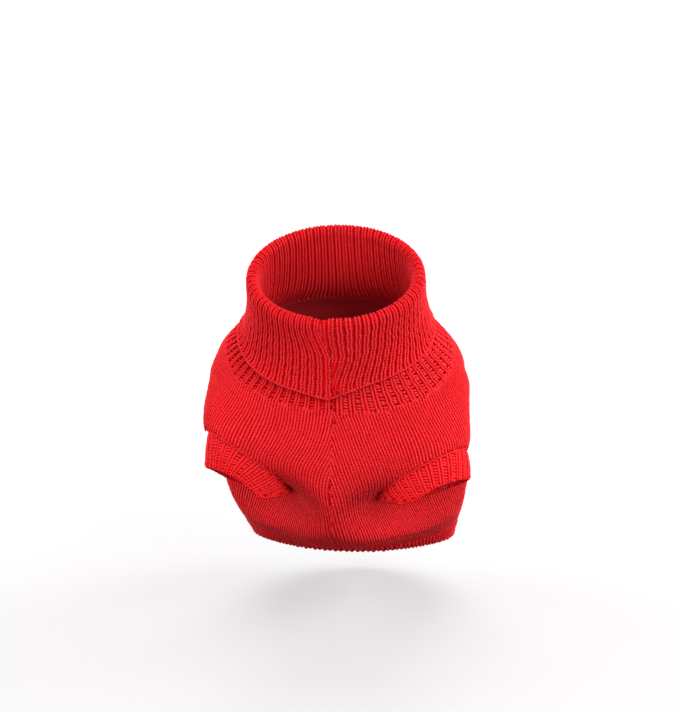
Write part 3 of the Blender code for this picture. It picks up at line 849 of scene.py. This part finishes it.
def cuff_points(turn, share, out, side):
    """A surface of a cuff, on the left leg. Its top is tucked under the panel's edge."""
    angle = -2 * np.pi * turn
    panel_normal = garment_normal(*armhole_place(angle + np.radians(ARM_RING_TILT)))
    agreement = np.sum(panel_normal * cuff_normal(angle, 0 * angle), axis=-1)
    inset = 1.1 + 1.2 * (1 - np.clip(agreement, 0, 1)) + 0.6 * np.clip(-agreement, 0, 1)
    out = out - inset * (1 - np.clip(share * 1.4, 0, 1))**2
    at_seam, at_edge = CUFF_SPREAD[side]
    out = out + (at_seam + (at_edge - at_seam) * share**2) * np.clip(np.cos(angle), 0, 1)**2
    share = share * smooth_table(CUFF_REACH, np.degrees(angle) % 360.0)[..., 0 if side > 0 else 1]
    return cuff_sheet(angle, share) + cuff_normal(angle, share) * out[..., None]


# The ribs go down the outside, round the edge and up the inside
round_edge = np.linspace(0.0, np.pi, 9)[1:-1]
cuff_share = np.concatenate([np.linspace(-0.06, CUFF_ROUND, 24), CUFF_ROUND + 0.05 * np.sin(round_edge),
                             np.linspace(CUFF_ROUND, 0.05, 24)])
cuff_out = np.concatenate([np.full(24, 0.75), -0.1 + 0.85 * np.cos(round_edge), np.full(24, -0.95)])
cuff_turns = np.arange(CUFF_COLUMNS) / CUFF_COLUMNS
# The cuffs' yarn has the lighter painted shade between its legs.
cuff_yarn = yarn_finish("cuff_yarn", YARN_CREST_HIGHLIGHT, OPEN_DEEP_SHADE)
cuff_backing = backing_finish("cuff_backing", ribbed=True)
for node, side in (("cuff_left_leg", 1.0), ("cuff_right_leg", -1.0)):
    turn = np.broadcast_to((np.arange(RIBS_CUFF + 1) + 0.5) / RIBS_CUFF, (len(cuff_share), RIBS_CUFF + 1))
    lean = smooth_table(CUFF_LEAN, -360.0 * turn % 360.0)[..., 0 if side > 0 else 1]
    turn = turn + lean * np.clip(cuff_share, 0, 1)[:, None]
    lines = cuff_points(turn, cuff_share[:, None], cuff_out[:, None], side)
    lines = settle(lines if side > 0 else mirrored(lines))
    frames = stitch_frames(lines, side, COURSE)
    frames = [values[frames[4] < RIBS_CUFF] for values in frames]
    everywhere = np.full(len(frames[0]), FAR_FROM_SEAM)
    # The cuffs' purl bars are painted lighter: painted light.
    parts = [knit_legs(frames, rng, everywhere, place=0.165, width=0.18, lean=0.03, height=0.8),
             purl_bars(frames, rng, everywhere, reach=0.30, tilt=0.45, thick=0.60, sunk=0.42, painted_light=0.8)]
    edge_turn = np.linspace(0.0, 1.0, 200)
    edge = cuff_points(edge_turn, 1.0, 0.0, side)
    out = cuff_normal(-2 * np.pi * edge_turn, np.full_like(edge_turn, 0.98))
    edge, out = (settle(edge), out) if side > 0 else (settle(mirrored(edge)), mirrored(out))
    parts.append(chain(edge, out, 2.0, 0.85, rng))
    yarn = yarn_piece(node + "_yarn", parts, cuff_yarn)
    loops = []
    for shares, out in ((CUFF_ROWS[::-1], -0.8), (CUFF_ROWS, 0.4)):
        for share in shares:
            points = cuff_points(cuff_turns, share, out, side)
            loops.append(settle(points if side > 0 else mirrored(points)))
    if side > 0:
        loops.reverse()
    inside = np.repeat([1.0, 0.0] if side < 0 else [0.0, 1.0], len(CUFF_ROWS))
    backing = ring_wall(node + "_backing", loops, RIBS_CUFF, inside, cuff_backing)
    for piece in (backing, yarn):
        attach(piece, "root")
        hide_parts(node)

# ---------------------------------------------------------------------------------
# Hem band: a band of the same rib that closes the panel's lower edge and draws it in
# round the dog's waist. It ends in a bound-off edge too.
# ---------------------------------------------------------------------------------
RIBS_HEM = 68
HEM_ROWS = (HEM_SEAM + 0.001, 1.05, 1.09, HEM_EDGE)    # of the hem's backing
HEM_ROUND = 1.13                       # where the ribs start to go round the edge
hem_along = np.concatenate([np.linspace(HEM_SEAM, HEM_ROUND, 26), HEM_ROUND + 0.01 * np.sin(round_edge),
                            np.linspace(HEM_ROUND, 1.005, 25)])
hem_out = np.concatenate([np.full(26, 0.85), -0.1 + 0.95 * np.cos(round_edge), np.full(25, -1.05)])
turn = np.broadcast_to((np.arange(RIBS_HEM + 1) + 0.5) / RIBS_HEM, (len(hem_along), RIBS_HEM + 1))
lines = above_cloth(turn % 1.0, hem_along[:, None], hem_out[:, None])
frames = stitch_frames(lines, 1.0, COURSE)
frames = [values[frames[4] < RIBS_HEM] for values in frames]
everywhere = np.full(len(frames[0]), FAR_FROM_SEAM)
parts = [knit_legs(frames, rng, everywhere, place=0.22, width=0.23, lean=0.06, height=0.85),
         purl_bars(frames, rng, everywhere, reach=0.24, tilt=0.25, sunk=0.6)]
edge_turn = np.linspace(0.0, 1.0, 400) % 1.0
parts.append(chain(garment_point(edge_turn, HEM_EDGE), garment_normal(edge_turn, HEM_EDGE), 2.0, 0.85, rng))
# The hem's yarn has the lighter painted shade between its legs.
hem_yarn = yarn_piece("hem_yarn", parts, yarn_finish("hem_yarn", YARN_CREST_HIGHLIGHT, OPEN_DEEP_SHADE))
loops = [above_cloth(wall_turns, along, out)
         for rows, out in ((HEM_ROWS[::-1], -0.9), (HEM_ROWS, 0.3)) for along in rows]
loops.reverse()
hem = ring_wall("hem_backing", loops, RIBS_HEM, np.repeat([0.0, 1.0], len(HEM_ROWS)),
                backing_finish("hem_backing", ribbed=True))
for piece in (hem, hem_yarn):
    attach(piece, "root")
    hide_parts("hem_band")

# ---------------------------------------------------------------------------------
# Studio: a white sweep, soft lamps and a camera a little above the sweater.
# ---------------------------------------------------------------------------------
FLOOR = -0.180
SWEEP_FLAT, SWEEP_BEND, SWEEP_HEIGHT, SWEEP_STEPS = 1.3, 1.6, 2.6, 96
bend = np.linspace(0.0, np.pi / 2, 25)
profile = ([(SWEEP_FLAT + SWEEP_BEND * np.sin(a), FLOOR + SWEEP_BEND * (1 - np.cos(a))) for a in bend]
           + [(SWEEP_FLAT + SWEEP_BEND, FLOOR + SWEEP_HEIGHT)])
round_sweep = 2 * np.pi * np.arange(SWEEP_STEPS) / SWEEP_STEPS
sweep_points = [(reach * np.cos(a), reach * np.sin(a), z) for reach, z in profile for a in round_sweep]
sweep_faces = [tuple(range(SWEEP_STEPS))]
sweep_faces += [(row + (step + 1) % SWEEP_STEPS, row + step, row + SWEEP_STEPS + step,
                 row + SWEEP_STEPS + (step + 1) % SWEEP_STEPS)
                for row in range(0, SWEEP_STEPS * (len(profile) - 1), SWEEP_STEPS)
                for step in range(SWEEP_STEPS)]
sweep_mesh = bpy.data.meshes.new("sweep")
sweep_mesh.from_pydata(sweep_points, [], sweep_faces)
sweep_mesh.polygons.foreach_set("use_smooth", np.ones(len(sweep_mesh.polygons), dtype=bool))
sweep = bpy.data.objects.new("sweep", sweep_mesh)
paper = Finish("paper", roughness=0.9)
paper.shader.inputs["Base Color"].default_value = (0.50, 0.497, 0.506, 1)
paper.shader.inputs["Emission Color"].default_value = (1.0, 1.0, 1.0, 1)
paper.shader.inputs["Emission Strength"].default_value = 0.36
sweep_mesh.materials.append(paper.material)
bpy.context.scene.collection.objects.link(sweep)
sweep.visible_diffuse = False

world = bpy.data.worlds.new("studio")
world.use_nodes = True
world.node_tree.nodes["Background"].inputs["Color"].default_value = (1.0, 1.0, 1.0, 1)
world.node_tree.nodes["Background"].inputs["Strength"].default_value = 0.2
bpy.context.scene.world = world

AIM = Vector((-0.0001, 0.0, -0.0057))
LAMPS = (
    # name, place, what it points at, size, power in watts
    ("key", (0.9, -1.5, 0.6), AIM, 1.1, 24.3),
    ("fill", (-1.2, -1.3, 0.4), AIM, 1.4, 17.2),
    ("top", (0.0, 0.4, 1.7), AIM, 1.6, 9.0),
    ("left_rim", (-1.4, 0.3, 0.3), AIM, 1.0, 14.5),
    ("right_rim", (1.4, 0.3, 0.3), AIM, 1.0, 21.0),
    ("backdrop", (0.0, 1.0, 1.9), Vector((0.0, 2.9, 0.7)), 1.8, 56.0),
)
for name, place, target, size, power in LAMPS:
    lamp = bpy.data.lights.new(name, "AREA")
    lamp.size, lamp.energy = size, power
    holder = bpy.data.objects.new(name, lamp)
    holder.location = place
    holder.rotation_euler = (target - Vector(place)).to_track_quat("-Z", "Y").to_euler()
    bpy.context.scene.collection.objects.link(holder)

CAMERA_DISTANCE, CAMERA_UP, CAMERA_ROUND = 1.6, 13.0, 4.5    # metres, degrees
PIXELS_ACROSS, MM_PER_PIXEL = 679, 0.55                      # of the view, at AIM
FRAME_WIDTH = PIXELS_ACROSS * MM_PER_PIXEL * MM
up, turned = np.radians(CAMERA_UP), np.radians(CAMERA_ROUND)
camera_data = bpy.data.cameras.new("camera")
camera_data.sensor_fit = "HORIZONTAL"
camera_data.lens = camera_data.sensor_width * CAMERA_DISTANCE / FRAME_WIDTH
camera = bpy.data.objects.new("camera", camera_data)
towards_camera = Vector((np.sin(turned) * np.cos(up), -np.cos(turned) * np.cos(up), np.sin(up)))
camera.location = AIM + CAMERA_DISTANCE * towards_camera
camera.rotation_euler = (AIM - camera.location).to_track_quat("-Z", "Y").to_euler()
bpy.context.scene.collection.objects.link(camera)
bpy.context.scene.camera = camera
bpy.context.scene.view_settings.view_transform = "Standard"

bpy.context.view_layer.update()
